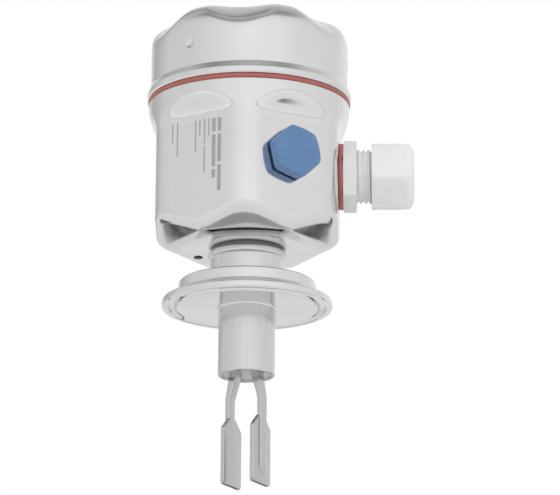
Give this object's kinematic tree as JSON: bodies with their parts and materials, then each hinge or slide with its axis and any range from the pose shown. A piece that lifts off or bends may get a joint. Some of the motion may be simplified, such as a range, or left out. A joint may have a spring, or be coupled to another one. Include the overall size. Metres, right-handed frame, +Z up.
{
  "type": "vibrating fork level switch",
  "caption": "Point level switch: round steel housing with flats, screw cover, cable gland and blanking plug, on a clamp ferrule with a tube and a two-tine fork.",
  "frame": {"origin": "centre of the clamp ferrule's sealing face, on the sensor's axis", "axes": "+Z up along the sensor's axis towards the cover, +X along the cable gland"},
  "size_m": [0.1013, 0.0782, 0.179],
  "materials": {
    "polished_steel": "polished",
    "plain_steel": "satin",
    "red_rubber": "matt",
    "black_rubber": "matt",
    "grey_plastic": "satin",
    "blue_plastic": "satin",
    "dark_plastic": "matt",
    "green_plastic": "satin",
    "white_plastic": "satin",
    "lamp": "clear",
    "brass": "satin",
    "ceramic": "matt"
  },
  "bodies": {
    "base": {"circuit_board": "green_plastic", "clamp_ferrule": "polished_steel", "contact_discs": "brass", "earth_bracket": "polished_steel", "earth_clamp": "plain_steel", "earth_screw": "plain_steel", "gland_body": "grey_plastic", "gland_seal": "black_rubber", "gland_socket": "polished_steel", "gland_washer": "red_rubber", "housing_body": "polished_steel", "insert_case": "dark_plastic", "insert_plate": "dark_plastic", "insert_posts": "plain_steel", "insert_screws": "plain_steel", "neck_adapter": "polished_steel", "neck_nut": "polished_steel", "neck_seal": "black_rubber", "piezo_discs": "ceramic", "plug_socket": "polished_steel", "sensor_lead": "black_rubber", "sensor_plug": "dark_plastic", "sensor_tube": "polished_steel", "stack_insulators": "white_plastic", "stack_nut": "plain_steel", "status_lamps": "lamp", "switch_frame": "dark_plastic", "tension_bolt": "plain_steel", "terminal_block": "green_plastic", "terminal_clamps": "brass", "terminal_screws": "plain_steel", "thread_ring": "polished_steel", "vent_filter": "dark_plastic", "vibrating_fork": "polished_steel"},
    "seal_ring": {"cover_seal": "red_rubber"},
    "cover": {"cover": "polished_steel"},
    "slip_ring": {"gland_slip_ring": "grey_plastic"},
    "cap_nut": {"gland_nut": "grey_plastic"},
    "plug_ring": {"plug_seal": "black_rubber"},
    "plug": {"blind_plug": "blue_plastic"},
    "mode_slider": {"mode_switch": "white_plastic"},
    "density_slider": {"density_switch": "white_plastic"}
  },
  "joints": [
    {"name": "cover_travel", "type": "slide", "parent": "base", "child": "seal_ring", "axis": [0, 0, 1], "range_m": [0, 0.008]},
    {"name": "cover_turn", "type": "hinge", "parent": "seal_ring", "child": "cover", "pos_m": [0, 0, 0.09], "axis": [0, 0, 1], "range_deg": [0, 1440]},
    {"name": "gland_nut_travel", "type": "slide", "parent": "base", "child": "slip_ring", "axis": [1, 0, 0], "range_m": [0, 0.009]},
    {"name": "gland_nut_turn", "type": "hinge", "parent": "slip_ring", "child": "cap_nut", "pos_m": [0.055, 0, 0.0516], "axis": [1, 0, 0], "range_deg": [0, 1800]},
    {"name": "plug_travel", "type": "slide", "parent": "base", "child": "plug_ring", "axis": [0.5, -0.866, 0], "range_m": [0, 0.0075]},
    {"name": "plug_turn", "type": "hinge", "parent": "plug_ring", "child": "plug", "pos_m": [0.018, -0.03118, 0.0516], "axis": [0.5, -0.866, 0], "range_deg": [0, 1800]},
    {"name": "mode_switch_slide", "type": "slide", "parent": "base", "child": "mode_slider", "axis": [0, 1, 0], "range_m": [0, 0.002]},
    {"name": "density_switch_slide", "type": "slide", "parent": "base", "child": "density_slider", "axis": [0, 1, 0], "range_m": [0, 0.002]}
  ],
  "couplings": [
    {"joint": "cover_turn", "follows": "cover_travel", "rad_per_m": 3141.6},
    {"joint": "gland_nut_turn", "follows": "gland_nut_travel", "rad_per_m": 3490.7},
    {"joint": "plug_turn", "follows": "plug_travel", "rad_per_m": 4188.8}
  ]
}
